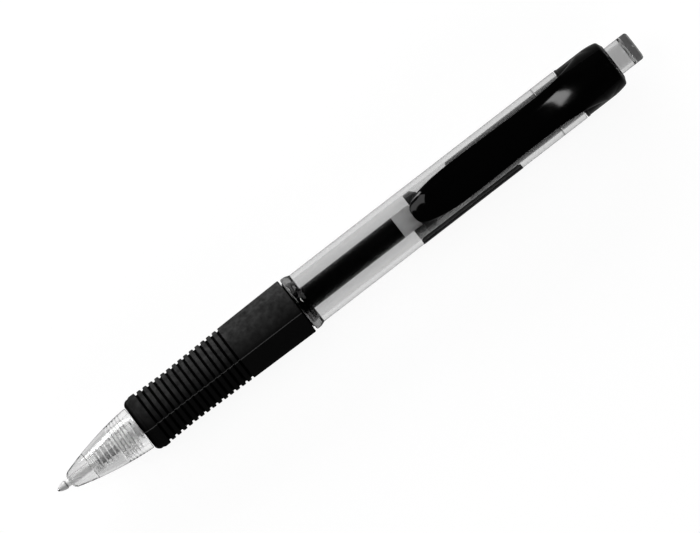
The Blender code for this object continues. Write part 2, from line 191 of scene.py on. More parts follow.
def dress(piece, material, node, body):
    """Gives a piece its material and its place in the frame: the node it replaces, the body it rides."""
    piece.data.materials.append(material)
    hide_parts(node)
    if body:
        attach(piece, body)


polish, sockets, place = finish("polished carbide", base_color=(0.72, 0.72, 0.73), metallic=1.0)
(0.08 + 0.08 * grain(place, 0.2)).to(sockets["Roughness"])

meridian = np.linspace(0, np.pi, 33)
ball = turned("ball", BALL_R - BALL_R * np.cos(meridian), BALL_R * np.sin(meridian), even_angles(48), False)
dress(ball, polish, "writing_ball", "refill")


# Point: turned from nickel-silver rod, a bullet nose with a rolled lip, an undercut behind it with its
# shade painted darker into the colour, and a straight shank pressed into the plastic holder, painted
# lighter and less metallic as its highlight. Fine turning rings run round it.
def outline(*corners, steps=7, support=0.05):
    """Closed outline from (station, radius, corner radius) points, corners rounded to true arcs.

    A corner of turn angle w and radius f starts f tan(w / 2) before the point. Each straight stretch keeps
    a support point close to both ends, so that smooth shading stays flat along it.
    """
    points = np.array(corners, float)
    at, fillet = points[:, :2], points[:, 2]
    ahead = np.roll(at, -1, axis=0) - at
    length = np.linalg.norm(ahead, axis=1)
    leave = ahead / length[:, None]
    come = np.roll(leave, 1, axis=0)
    turn = np.arctan2(come[:, 0] * leave[:, 1] - come[:, 1] * leave[:, 0], np.sum(come * leave, axis=1))
    reach = np.tan(np.abs(turn) / 2)
    room = 0.48 * np.minimum(length, np.roll(length, 1))
    fillet = np.minimum(fillet, room / np.maximum(reach, 1e-6))
    first = at - come * (fillet * reach)[:, None]
    side = np.stack([-come[:, 1], come[:, 0]], axis=1) * np.sign(turn)[:, None]
    share = np.linspace(0, 1, steps)[None, :, None]
    swing = turn[:, None, None] * share
    spoke = -side[:, None, :] * fillet[:, None, None]
    crossed = np.stack([-spoke[..., 1], spoke[..., 0]], axis=-1)
    arcs = (first + side * fillet[:, None])[:, None, :] + spoke * np.cos(swing) + crossed * np.sin(swing)
    start, end = arcs[:, -1], np.roll(arcs[:, 0], -1, axis=0)
    gap = np.linalg.norm(end - start, axis=1, keepdims=True)
    near = (end - start) * np.minimum(support / np.maximum(gap, 1e-9), 0.3)
    loop = np.concatenate([arcs, (start + near)[:, None], (end - near)[:, None]], axis=1)
    return loop.reshape(-1, 2).T


def curve(station, radius):
    """Corners of a smooth run of points, none of them rounded."""
    return list(zip(station, radius, np.zeros(len(station))))


def part_of(place, axis):
    """One coordinate of a place."""
    return place.node("SeparateXYZ", {}, {"Vector": place}, axis)


def stations(place):
    """Station along the pen, in mm from the ball's front."""
    return (part_of(place, "X") - BALL_X) * (1 / MM)


TIP_R = 0.9
NECK_R = 0.78
LIP_X, LIP_R = 0.42, 0.45
BULLET_LENGTH = 1.68
STEP_X = 2.14
UNDERCUT_X = 2.18
UNDERCUT_END_X = 2.34
UNDERCUT_R = NECK_R - 0.1
NECK_X = 2.4
SHANK_END = 13.0
SOCKET_R = BALL_R + 0.03
SOCKET_END_X = 0.7
FEED_X = 0.85
FEED_R = 0.2

share = np.linspace(0, 1, 24)
bullet = curve(LIP_X + BULLET_LENGTH * share, LIP_R + (TIP_R - LIP_R) * np.sin(share * np.pi / 2))

nickel, sockets, place = finish("turned nickel silver")
along = stations(place)
# Painted shade darkens the undercut; a painted highlight lightens the neck and shank and makes them less
# metallic.
undercut_shade = along.ramp(STEP_X - 0.14, STEP_X - 0.02) * along.ramp(UNDERCUT_END_X - 0.02, UNDERCUT_X + 0.02)
shank_highlight = along.ramp(NECK_X - 0.15, NECK_X + 0.1)
(0.67 + 0.27 * shank_highlight - 0.45 * undercut_shade).grey().to(sockets["Base Color"])
(0.4 - 0.15 * shank_highlight).to(sockets["Metallic"])
rings = grain(place, 0.08, stretch=(1, 80, 80))
(0.42 + 0.16 * rings).to(sockets["Roughness"])
bumped(rings, 0.006, sockets)

point = turned(
    "point",
    *outline(
        (LIP_X, SOCKET_R, 0),
        *bullet,
        (STEP_X, TIP_R - 0.01, 0.03),
        (UNDERCUT_X, UNDERCUT_R, 0.02),
        (UNDERCUT_END_X, UNDERCUT_R, 0.02),
        (NECK_X, NECK_R, 0.02),
        (SHANK_END, NECK_R, 0.1),
        (SHANK_END, FEED_R, 0),
        (FEED_X, FEED_R, 0),
        (SOCKET_END_X, SOCKET_R, 0),
    ),
    even_angles(64),
)
dress(point, nickel, "metal_tip", "refill")


# Point holder: the cloudy polypropylene nose of the refill. The point is pressed into its front, the
# spring runs over it and pushes on its shoulder, and its plug closes the ink tube.
HOLDER_X = 9.5
HOLDER_R = 1.3
SHOULDER_X = 22.5
SHOULDER_R = 2.4
TUBE_X = 24.3
TUBE_R = 2.45
TUBE_BORE_R = 2.05
PLUG_END_X = TUBE_X + 3.0
PLUG_FIT_R = TUBE_BORE_R - 0.05
SHANK_HOLE_R = NECK_R + 0.02
HOLDER_FEED_R = 0.5

cloudy, sockets, place = finish("cloudy polypropylene", transmission_weight=0.1, ior=1.49)
along = stations(place)
# Painted shade and light: the holder is darker where the shank sits in it and lighter past the shank's end,
# standing in for the shade and light seen through the cone.
painted_light_past_shank = along.ramp(SHANK_END + 1.2, SHANK_END + 1.9)
(0.46 + 0.47 * painted_light_past_shank).grey().to(sockets["Base Color"])
(0.28 + 0.14 * grain(place, 1.2)).to(sockets["Roughness"])
bumped(grain(place, 0.5, stretch=(6, 1, 1)), 0.01, sockets)

holder = turned(
    "point_holder",
    *outline(
        (HOLDER_X, SHANK_HOLE_R, 0),
        (HOLDER_X, HOLDER_R, 0.22),
        (SHOULDER_X - 1.5, HOLDER_R + 0.1, 0),
        (SHOULDER_X, HOLDER_R + 0.1, 0.15),
        (SHOULDER_X, SHOULDER_R, 0.1),
        (TUBE_X - 0.3, SHOULDER_R, 0.1),
        (TUBE_X - 0.3, PLUG_FIT_R, 0),
        (PLUG_END_X, PLUG_FIT_R, 0.1),
        (PLUG_END_X, HOLDER_FEED_R, 0),
        (SHANK_END + 0.3, HOLDER_FEED_R, 0),
        (SHANK_END + 0.3, SHANK_HOLE_R, 0),
    ),
    even_angles(96),
)
dress(holder, cloudy, "tip_holder", "refill")


# Refill tube: extruded polypropylene, clear but slightly streaked along its length, cut square.
# The holder's plug closes its front end, and its rear end stays open in the bush.
TUBE_END_X = 90.5

tube = turned(
    "ink_tube",
    *outline(
        (TUBE_X, TUBE_BORE_R, 0.05),
        (TUBE_X, TUBE_R, 0.15),
        (TUBE_END_X, TUBE_R, 0.1),
        (TUBE_END_X, TUBE_BORE_R, 0.05),
    ),
)
clear_tube, sockets, place = finish(
    "extruded tube",
    base_color=(0.9, 0.9, 0.9),
    transmission_weight=1.0,
    ior=1.35,
)
(0.04 + 0.06 * grain(place, 0.6, stretch=(30, 1, 1))).to(sockets["Roughness"])
bumped(grain(place, 0.8, stretch=(60, 1, 1)), 0.002, sockets)
dress(tube, clear_tube, "refill_tube", "refill")


# Gel: a black column that wets the tube's wall, its rear end drawn to a shallow dome.
# The clear grease behind it has picked up a grey cast and follows the gel as it is used up.
INK_END_X = 84.35
GREASE_END_X = 88.6
WET_R = TUBE_BORE_R + 0.01
INK_X = PLUG_END_X + 0.3
DOME = 0.35

gel_look, sockets, place = finish("black gel", base_color=(0.002, 0.002, 0.002), specular_ior_level=0.02)
(0.4 + 0.2 * grain(place, 0.8, stretch=(5, 1, 1))).to(sockets["Roughness"])

share = np.linspace(0, 1, 14)
dome_x = INK_END_X + DOME * np.sin(share * np.pi / 2)
dome_r = WET_R * np.cos(share * np.pi / 2)
gel = turned(
    "gel_column",
    np.concatenate([[INK_X, INK_X], dome_x]),
    np.concatenate([[0.0, WET_R], dome_r]),
    wrap=False,
)
dress(gel, gel_look, "gel_ink", "refill")

grease_look, sockets, place = finish("grey grease")
(0.69 + 0.1 * grain(place, 1.0, stretch=(2, 1, 1))).grey().to(sockets["Base Color"])
(0.3 + 0.2 * grain(place, 0.7)).to(sockets["Roughness"])
grease = turned(
    "grease_plug",
    np.concatenate([dome_x[::-1] + 0.02, [GREASE_END_X, GREASE_END_X]]),
    np.concatenate([dome_r[::-1], [WET_R, 0.0]]),
    wrap=False,
)
dress(grease, grease_look, "follower_grease", "refill")


# Rear bush: black moulded ring pushed on to the tube's end, bevelled behind, with a vent hole.
# It keeps the thin refill in the middle of the wide barrel.
BUSH_X = 88.8
BUSH_END_X = 91.4
BUSH_R = 4.42
VENT_R = 0.7

matt_black, sockets, place = finish(
    "matt black plastic",
    base_color=(0.004, 0.004, 0.004),
    specular_ior_level=0.1,
)
(0.4 + 0.2 * grain(place, 1.5)).to(sockets["Roughness"])
bumped(grain(place, 0.3, detail=3.0), 0.004, sockets)

bush = turned(
    "rear_bush",
    *outline(
        (BUSH_X, TUBE_R + 0.05, 0.1),
        (BUSH_X, BUSH_R, 0.15),
        (BUSH_X + 1.6, BUSH_R, 0.2),
        (BUSH_END_X, BUSH_R - 1.0, 0.2),
        (BUSH_END_X, VENT_R, 0.1),
        (TUBE_END_X + 0.3, VENT_R, 0),
        (TUBE_END_X + 0.3, TUBE_R + 0.05, 0),
    ),
)
dress(bush, matt_black, "refill_bush", "refill")


# Return spring: one hard-drawn steel wire, close-wound at both ends and open between.
# Its front sits on the cone's seat and its rear pushes on the refill's shoulder.
SPRING_X = (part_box("return_spring")[0].x - BALL_X) / MM
SPRING_END_X = (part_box("return_spring")[1].x - BALL_X) / MM
COIL_R = 2.08
WIRE_R = 0.16
CLOSE_PITCH = 0.37
FRONT_TURNS = 3.5
REAR_TURNS = 2.0
OPEN_TURNS = 10.5

turns = np.linspace(0, FRONT_TURNS + OPEN_TURNS + REAR_TURNS, 640)
coil_front = SPRING_X + WIRE_R + 0.02
coil_end = SPRING_END_X - WIRE_R - 0.02
rear_start = FRONT_TURNS + OPEN_TURNS
winding = np.interp(
    turns,
    [0, FRONT_TURNS, rear_start, turns[-1]],
    [
        coil_front,
        coil_front + FRONT_TURNS * CLOSE_PITCH,
        coil_end - REAR_TURNS * CLOSE_PITCH,
        coil_end,
    ],
)


def wire(name, station, angle, coil_r, wire_r, sides=12):
    """Tube on a helix: centre (station, coil_r sin angle, coil_r cos angle), its ring spanned by the
    outward spoke and the pen's axis; both ends are drawn in to a point."""
    around = np.linspace(0, 2 * np.pi, sides, endpoint=False)
    thick = np.full((len(station), 1), wire_r)
    thick[[0, -1]] = 0.0
    spoke = coil_r + thick * np.cos(around)
    x = BALL_X + (station[:, None] + thick * np.sin(around)) * MM
    y = spoke * np.sin(angle)[:, None] * MM
    z = AXIS_Z + spoke * np.cos(angle)[:, None] * MM
    return grid_mesh(name, np.stack([x, y, z], axis=-1), False)


ends = np.concatenate([[0], np.arange(len(turns)), [len(turns) - 1]])
spring = wire("spring_wire", winding[ends], turns[ends] * 2 * np.pi, COIL_R, WIRE_R)
# Painted highlight: the wire is near white and mostly diffuse, standing in for the glints of bright steel
# wire.
spring_look, sockets, place = finish("spring wire", base_color=(0.97, 0.97, 0.97), metallic=0.15)
(0.2 + 0.14 * grain(place, 0.3)).to(sockets["Roughness"])
dress(spring, spring_look, "return_spring", None)
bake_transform(spring)


# Barrel: one clear styrene moulding, polished in the tool, with faint flow lines along it.
# A threaded spigot takes the cone, a thin seat the grip, a rounded collar stops it, a counterbore the cap.
BARREL_R = 5.68
BORE_R = 4.69
GRIP_SEAT_R = 4.9
GRIP_BORE_R = 3.3
SPIGOT_X = 14.8
SPIGOT_R = 3.65
SPIGOT_BORE_R = 2.8
BARREL_SHOULDER_X = 20.5
GRIP_END_X = 59.3
COLLAR_X = 59.65
COLLAR_R = 6.1
COLLAR_NECK_R = 5.2
PLUG_X = 121.4
PLUG_R = 4.76
BARREL_END_X = 127.0
THREAD_PITCH = 0.75
THREAD_DEPTH = 0.006
THREAD_STEEP = 2.0
THREAD_ROWS = 80
SPIGOT_THREAD_X = SPIGOT_X + 0.4
SPIGOT_THREAD_END_X = 19.0
LINES_END_X = 18.6
SHADE_X, SHADE_END_X = 86.0, 112.0


def thread_lines(place, along, first, last, wall):
    """Lines of painted shade for a thread seen through its wall: the top of a cosine of station / pitch - Y
    / 4 wall, between two stations, from 0 to 1."""
    aside = part_of(place, "Y") * (0.25 / (wall * MM))
    wave = along.math("COSINE", (along * (1 / THREAD_PITCH) - aside) * (2 * math.pi))
    return wave.ramp(0.3, 0.9) * along.ramp(first, first + 0.2) * along.ramp(last, last - 0.2)


clear, sockets, place = finish("clear styrene", transmission_weight=1.0, ior=1.55)
along = stations(place)
# Painted light and shade: the spigot is painted clearer, standing in for light reaching the parts inside
# it; the collar, more so at its front, is painted darker as the shade of the black grip seen through it;
# thread lines and a line at the counterbore's edge are painted shade, and the tube darkens slightly towards
# the rear as painted shade.
spigot = along.ramp(BARREL_SHOULDER_X + 0.2, BARREL_SHOULDER_X - 0.2)
bore_end = along.ramp(PLUG_X - 0.25, PLUG_X) * along.ramp(PLUG_X + 0.25, PLUG_X)
collar = along.ramp(COLLAR_X - 0.2, COLLAR_X) * along.ramp(COLLAR_X + 2.2, COLLAR_X + 2.0)
line = thread_lines(place, along, SPIGOT_X, LINES_END_X, SPIGOT_R)
rear = along.ramp(SHADE_X, SHADE_END_X)
collar_front = collar * along.ramp(COLLAR_X + 0.6, COLLAR_X + 0.3)
painted_shade = 0.46 * collar + 0.12 * collar_front + 0.3 * line + 0.4 * bore_end
(0.735 - 0.045 * rear + 0.225 * spigot - painted_shade).grey().to(sockets["Base Color"])
(1 - 0.6 * along.ramp(SPIGOT_THREAD_END_X, LINES_END_X) * (1 - line)).to(sockets["Alpha"])
(0.015 + 0.03 * grain(place, 4.0, stretch=(3, 1, 1))).to(sockets["Roughness"])
bumped(grain(place, 1.6, stretch=(14, 1, 1), detail=1.0), 0.003, sockets)


def threaded(station, radius, angles, first, last, wall):
    """Radius with a thread between two stations of the wall of that radius: a triangle wave of
    station / pitch - angle / turn, cut off flat above and below, faded in and out over half a pitch."""
    wave = (station[:, None] / THREAD_PITCH - angles / (2 * np.pi)) % 1.0
    ridge = np.clip(THREAD_STEEP * (np.abs(wave - 0.5) * 4 - 1), -1, 1)
    inside = np.clip(np.minimum(station - first, last - station) / (THREAD_PITCH / 2), 0, 1)
    on_wall = np.abs(radius - wall) < 1e-6
    return radius[:, None] + THREAD_DEPTH * ridge * (inside * on_wall)[:, None]


thread_x = np.linspace(SPIGOT_THREAD_X, SPIGOT_THREAD_END_X, THREAD_ROWS)
barrel_x, barrel_r = outline(
    (SPIGOT_X, SPIGOT_BORE_R, 0.02),
    (SPIGOT_X, SPIGOT_R, 0.02),
    *curve(thread_x, np.full(THREAD_ROWS, SPIGOT_R)),
    (BARREL_SHOULDER_X, SPIGOT_R, 0.1),
    (BARREL_SHOULDER_X, GRIP_SEAT_R, 0.1),
    (GRIP_END_X + 0.1, GRIP_SEAT_R, 0),
    (GRIP_END_X + 0.1, COLLAR_NECK_R, 0.05),
    (COLLAR_X, COLLAR_NECK_R, 0.1),
    (COLLAR_X, COLLAR_R, 0.4),
    (COLLAR_X + 1.1, COLLAR_R - 0.06, 1.5),
    (COLLAR_X + 2.1, BARREL_R, 0.3),
    (BARREL_END_X, BARREL_R, 0.15),
    (BARREL_END_X, PLUG_R, 0.05),
    (PLUG_X, PLUG_R, 0.05),
    (PLUG_X, BORE_R, 0.05),
    (COLLAR_X, BORE_R, 0.3),
    (COLLAR_X - 1.5, GRIP_BORE_R, 0.3),
    (BARREL_SHOULDER_X + 4.0, GRIP_BORE_R, 0.3),
    (BARREL_SHOULDER_X + 3.0, SPIGOT_BORE_R, 0.3),
)
round_barrel = even_angles(192)
barrel = turned(
    "barrel_tube",
    barrel_x,
    threaded(barrel_x, barrel_r, round_barrel, SPIGOT_THREAD_X, SPIGOT_THREAD_END_X, SPIGOT_R),
    round_barrel,
)
dress(barrel, clear, "barrel", "body")

# The seat's faces under the grip, the step at the grip's end and the neck behind it take a black
# rubber-like material: under the grip it is the pressed rubber, on the step and neck it is painted shade.
seat_and_neck_black, sockets, place = finish(
    "rubber on the seat and painted shade on the neck",
    base_color=(0.004, 0.004, 0.004),
    specular_ior_level=0.1,
)
(0.6 + 0.2 * grain(place, 0.5)).to(sockets["Roughness"])
barrel.data.materials.append(seat_and_neck_black)
middles = np.empty(3 * len(barrel.data.polygons))
barrel.data.polygons.foreach_get("center", middles)
middles = (middles.reshape(-1, 3) - (BALL_X, 0, AXIS_Z)) / MM
from_axis = np.hypot(middles[:, 1], middles[:, 2])
on_seat_and_neck = (from_axis > GRIP_SEAT_R - 0.05) & (from_axis < COLLAR_NECK_R + 0.03)
on_seat_and_neck &= (middles[:, 0] > BARREL_SHOULDER_X + 0.02) & (middles[:, 0] < COLLAR_X + 0.02)
barrel.data.polygons.foreach_set("material_index", on_seat_and_neck.astype(np.int32))


# Plain panel low on the barrel's -Y side: a thin film with round corners, blank on both faces,
# stuck on to the outside of the tube. Its near-black colour is painted shade, standing in for the label's
# back in shade.
PANEL_X = 86.5
PANEL_END_X = 111.0
PANEL_FROM = math.radians(-70)
PANEL_TO = math.radians(-165)
PANEL_CORNER = 0.9
PANEL_THICK = 0.07
PANEL_COLUMNS = 40

middle = (PANEL_FROM + PANEL_TO) / 2
half_span = abs(PANEL_TO - PANEL_FROM) / 2
ease = PANEL_CORNER * (1 - np.cos(np.linspace(0, np.pi / 2, 10)))
rows = np.concatenate([PANEL_X + ease, PANEL_END_X - ease[::-1]])
edge = np.minimum(np.minimum(rows - PANEL_X, PANEL_END_X - rows), PANEL_CORNER)
inset = PANEL_CORNER - np.sqrt(np.maximum(PANEL_CORNER**2 - (PANEL_CORNER - edge) ** 2, 0))
span = half_span - inset / BARREL_R
across = np.linspace(-1, 1, PANEL_COLUMNS)
across = np.concatenate([across, across[::-1]])
lift = np.repeat([PANEL_THICK, 0.0], PANEL_COLUMNS)
rows = np.concatenate([rows[:1], rows, rows[-1:]])
span = np.concatenate([[0.0], span, [0.0]])
panel_angle = middle + span[:, None] * across
panel_r = np.broadcast_to(BARREL_R + 0.01 + lift, panel_angle.shape)
panel_x = np.broadcast_to(BALL_X + rows[:, None] * MM, panel_angle.shape)
panel_y = panel_r * MM * np.sin(panel_angle)
panel_z = AXIS_Z + panel_r * MM * np.cos(panel_angle)
panel = grid_mesh("blank_panel", np.stack([panel_x, panel_y, panel_z], axis=-1), False)
film, sockets, place = finish("panel film painted as shade", base_color=(0.004, 0.004, 0.004), specular_ior_level=0.1)
(0.35 + 0.15 * grain(place, 2.0)).to(sockets["Roughness"])
panel.data.materials.append(film)
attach(panel, "body")


# Grip: black rubber sleeve moulded in two halves, so a fine flash line runs along it on both sides.
# A round front ring, a row of square ribs with worn corners, then a plain part that opens to the rear.
GRIP_X = 20.3
GRIP_INNER_R = 4.98
GRIP_FRONT_R = 6.08
GRIP_DOME_R = 5.92
GRIP_ROUND = 1.42
RING_X = 21.9
FOLD_X = 21.5
FOLD_DEPTH = 0.12
GRIP_WAIST_X = 30.6
GRIP_WAIST_R = 5.73
GRIP_END_R = 6.25
RIBS = 14
RIB_X = 24.42
RIB_PITCH = 1.439
RIB_LAND = 0.95
RIB_DEPTH = 0.45
FLASH_ANGLE = math.radians(-15.3)
FLASH_WIDTH = 0.022
FLASH_HEIGHT = 0.05


def grip_radius(station):
    """Outer radius: narrowest at the waist, rising with distance to the power 0.75."""
    far = np.abs(station - GRIP_WAIST_X) / (GRIP_END_X - 0.2 - GRIP_WAIST_X)
    return GRIP_WAIST_R + (GRIP_END_R - GRIP_WAIST_R) * far**0.75


rib_middle = RIB_X + RIB_PITCH * np.arange(RIBS)
rib_top = grip_radius(rib_middle)
front = rib_middle - RIB_LAND / 2
groove = rib_top - RIB_DEPTH
rib_x = np.stack([front - RIB_PITCH + RIB_LAND, front, front, front + RIB_LAND], axis=1).ravel()
rib_r = np.stack([groove, groove, rib_top, rib_top], axis=1).ravel()
rib_round = np.tile([0.14, 0.14, 0.28, 0.28], RIBS)
ribs = list(zip(rib_x, rib_r, rib_round))
plain_x = rib_middle[-1] + RIB_PITCH - RIB_LAND / 2
plain = np.linspace(plain_x + 0.6, GRIP_END_X - 0.6, 12)
last_groove = grip_radius(plain_x) - RIB_DEPTH
front_swing = np.radians(np.linspace(159, 98, 14))
grip_x, grip_r = outline(
    (GRIP_X + 0.1, GRIP_INNER_R, 0),
    *curve(
        GRIP_X + GRIP_ROUND * (1 + np.cos(front_swing)),
        GRIP_DOME_R - GRIP_ROUND * (1 - np.sin(front_swing)),
    ),
    (FOLD_X, GRIP_DOME_R - FOLD_DEPTH, 0.05),
    (RING_X, GRIP_DOME_R + 0.02, 0.2),
    (RING_X + 0.3, GRIP_FRONT_R, 0.3),
    (front[0] - RIB_PITCH + RIB_LAND, GRIP_FRONT_R - 0.03, 0.16),
    *ribs,
    (plain_x - RIB_PITCH + RIB_LAND, last_groove, 0.12),
    (plain_x, last_groove, 0.12),
    (plain_x, grip_radius(plain_x), 0.16),
    *curve(plain, grip_radius(plain)),
    (GRIP_END_X, GRIP_END_R, 0.25),
    (GRIP_END_X, GRIP_INNER_R, 0.05),
    steps=5,
)
flash_columns = np.linspace(-3, 3, 13) * FLASH_WIDTH
fine = np.concatenate([FLASH_ANGLE + flash_columns, FLASH_ANGLE + np.pi + flash_columns])
grip_angles = np.unique(np.concatenate([even_angles(150), fine % (2 * np.pi)]))
off_line = np.sin(grip_angles - FLASH_ANGLE)
flash = FLASH_HEIGHT * np.exp(-((off_line / FLASH_WIDTH) ** 2))
outside = np.clip((grip_r - GRIP_INNER_R - 0.1) / 0.2, 0, 1)
grip = turned("rubber_grip", grip_x, grip_r[:, None] + outside[:, None] * flash, grip_angles)

rubber, sockets, place = finish("black rubber", specular_ior_level=0.04)
speckle = grain(place, 0.22, detail=4.0)
broad_patches = grain(place, 6.0)
along = stations(place)
across = part_of(place, "Y") * (1 / MM)
up = (part_of(place, "Z") - AXIS_Z) * (1 / MM)
far = up.math("ABSOLUTE", along - GRIP_WAIST_X) * (1 / (GRIP_END_X - 0.2 - GRIP_WAIST_X))
rib_height = GRIP_WAIST_R + (GRIP_END_R - GRIP_WAIST_R) * far.math("POWER", far, 0.75)
depth = rib_height - up.math("POWER", across * across + up * up, 0.5)
# Painted shade: the colour is multiplied down to nothing in the grooves between the ribs.
shade_in_grooves = depth.ramp(0.8 * RIB_DEPTH, 0.05)
side = across * math.cos(FLASH_ANGLE) - up * math.sin(FLASH_ANGLE)
# Painted light: the grip is painted lighter in mottled patches towards its +Y side of the flash line, as
# light falling on that half, and less so at the front ring.
near_half = side.ramp(0.0, GRIP_END_R)
on_flash = side.math("ABSOLUTE", side).ramp(0.1, 0.0)
past_front_ring = 0.4 + 0.6 * along.ramp(RING_X, RIB_X + 2 * RIB_PITCH)
mottle = 2.6 * grain(place, 1.1, detail=5.0) - 0.3
painted_light_on_side = near_half * past_front_ring * (0.012 + 0.05 * broad_patches) * mottle
tone = (0.002 + 0.005 * speckle + painted_light_on_side) * shade_in_grooves
(tone + 0.1 * on_flash).grey().to(sockets["Base Color"])
(0.7 + 0.1 * broad_patches + 0.1 * speckle).to(sockets["Roughness"])
bumped(speckle, 0.025, sockets)
dress(grip, rubber, "grip_sleeve", "body")


# Nose cone: clear styrene bullet that screws on to the barrel. The point comes out of its round
# mouth, the spring sits on the step inside, and the thread in its rear shows through the wall as shallow
# ridges and lines of painted shade.
MOUTH_X = 3.04
MOUTH_R = 1.02
LIP_ROUND = 1.42
LIP_CENTRE_R = 0.52
LIP_FIRST = math.radians(154)
LIP_LAST = math.radians(105)
CONE_END_X = 20.2
CONE_END_R = 4.82
SPRING_SEAT_X = 8.16
SPRING_ROOM_R = 2.6
THREAD_X = 14.3
CONE_THREAD_X = 14.6
CONE_THREAD_END_X = 18.7
CONE_BORE_R = 3.85
CONE_BEND = 0.00715
CONE_SLOPE = 0.0635

lip_x = MOUTH_X - LIP_ROUND * math.cos(LIP_FIRST)
back = np.linspace(CONE_END_X - lip_x, 0.3, 40)
side = curve(CONE_END_X - back, CONE_END_R - CONE_SLOPE * back - CONE_BEND * back**2)
swing = np.linspace(LIP_FIRST, LIP_LAST, 14)
lip = curve(lip_x + LIP_ROUND * np.cos(swing), LIP_CENTRE_R + LIP_ROUND * np.sin(swing))
thread_x = np.linspace(CONE_THREAD_END_X - 0.1, CONE_THREAD_X + 0.1, THREAD_ROWS)
cone_x, cone_r = outline(
    (MOUTH_X, MOUTH_R, 0.06),
    *lip,
    *side,
    (CONE_END_X, CONE_END_R, 0.12),
    (CONE_END_X, CONE_BORE_R, 0.1),
    *curve(thread_x, np.full(THREAD_ROWS, CONE_BORE_R)),
    (THREAD_X + 0.2, CONE_BORE_R, 2.0),
    (SPRING_SEAT_X, SPRING_ROOM_R, 0.2),
    (SPRING_SEAT_X, MOUTH_R, 0.06),
)
round_cone = even_angles(192)
cone = turned(
    "clear_cone",
    cone_x,
    threaded(cone_x, cone_r, round_cone, CONE_THREAD_X, CONE_THREAD_END_X, CONE_BORE_R),
    round_cone,
)
clear_nose, sockets, place = finish("clear cone styrene", transmission_weight=1.0, ior=1.55)
along = stations(place)
line = thread_lines(place, along, CONE_THREAD_X, LINES_END_X, CONE_BORE_R)
# Painted light and shade: the cone is painted clearer from the thread back, standing in for light on the
# holder inside it, and the thread lines are painted shade.
behind = along.ramp(THREAD_X, THREAD_X + 0.4)
(0.72 + 0.24 * behind + 0.04 * grain(place, 2.0) - 0.3 * line).grey().to(sockets["Base Color"])
(0.02 + 0.03 * grain(place, 2.0)).to(sockets["Roughness"])
bumped(grain(place, 1.2, stretch=(4, 1, 1), detail=1.0), 0.003, sockets)
dress(cone, clear_nose, "nose_cone", "nose")


# Cam sleeve: black moulded tube plugged into the cap. Inside it four rails with ramped front ends
# hold the rotor out or let it slip back between them, and a ring at the rear stops the button.
SLEEVE_X = 99.2
SLEEVE_END_X = 125.0
SLEEVE_R = 4.55
SLEEVE_BORE_R = 3.9
RAIL_X = 108.0
RAIL_R = 3.2
SLEEVE_NECK_R = 4.05
STOP_X = 121.2
RAIL_PITCH = 90.0
RAIL_HALF = 10.0
RAMP = 0.1


def stepped_angles(first, pitch, half):
    """Even angles with a close pair at both sides of each rib, so that its flanks stand upright."""
    middles = first + pitch * np.arange(round(360 / pitch))
    close = np.array([-half - 0.05, -half + 0.05, half - 0.05, half + 0.05])
    sides = np.radians((middles[:, None] + close).ravel())
    return np.unique(np.concatenate([even_angles(144), sides % (2 * np.pi)]).round(6))


def from_nearest(angles, first, pitch):
    """Degrees from the nearest of the ribs that start at first and repeat at pitch."""
    return (np.degrees(angles) - first + pitch / 2) % pitch - pitch / 2


def rows_of(angles, *rows):
    """Stations and radii of an outline whose rows are numbers or change with the angle."""
    flat = np.ones(len(angles))
    return np.array([row[0] * flat for row in rows]), np.array([row[1] * flat for row in rows])


rail_angles = stepped_angles(0.0, RAIL_PITCH, RAIL_HALF)
off_rail = from_nearest(rail_angles, 0.0, RAIL_PITCH)
on_rail = np.abs(off_rail) < RAIL_HALF
rail_inner = np.where(on_rail, RAIL_R, SLEEVE_BORE_R)
ramp_x = RAIL_X - RAMP * np.where(on_rail, off_rail, 0.0)
sleeve = turned(
    "cam_tube",
    *rows_of(
        rail_angles,
        (SLEEVE_X, SLEEVE_BORE_R),
        (ramp_x, SLEEVE_BORE_R),
        (ramp_x, rail_inner),
        (STOP_X, rail_inner),
        (STOP_X, RAIL_R),
        (SLEEVE_END_X, RAIL_R),
        (SLEEVE_END_X, SLEEVE_NECK_R),
        (PLUG_X, SLEEVE_NECK_R),
        (PLUG_X, SLEEVE_R),
        (SLEEVE_X + 0.55, SLEEVE_R),
        (SLEEVE_X + 0.5, SLEEVE_R),
        (SLEEVE_X + 0.1, SLEEVE_R - 0.12),
        (SLEEVE_X, SLEEVE_R - 0.25),
    ),
    rail_angles,
)
dress(sleeve, matt_black, "cam_sleeve", "body")


# Rotor: black stem that pushes the refill, with four fins that ride the ramps and a crown of
# pointed teeth that the button's crown turns.
STEM_X = BUSH_END_X + 0.3
STEM_R = 1.9
HEAD_X = 104.3
HEAD_END_X = 108.85
PLUNGER_R = 2.75
FIN_R = 3.65
TOOTH = 0.6
TOOTH_PITCH = 45.0
TOOTH_HALF = 18.0
FIN_END_X = RAIL_X - 0.3


def crown(angles):
    """Height of a crown's teeth: a triangle over each tooth, nothing between them."""
    off = np.abs(from_nearest(angles, TOOTH_PITCH / 2, TOOTH_PITCH))
    return np.where(off < TOOTH_HALF, TOOTH * (1 - 0.9 * off / TOOTH_HALF), 0.0)


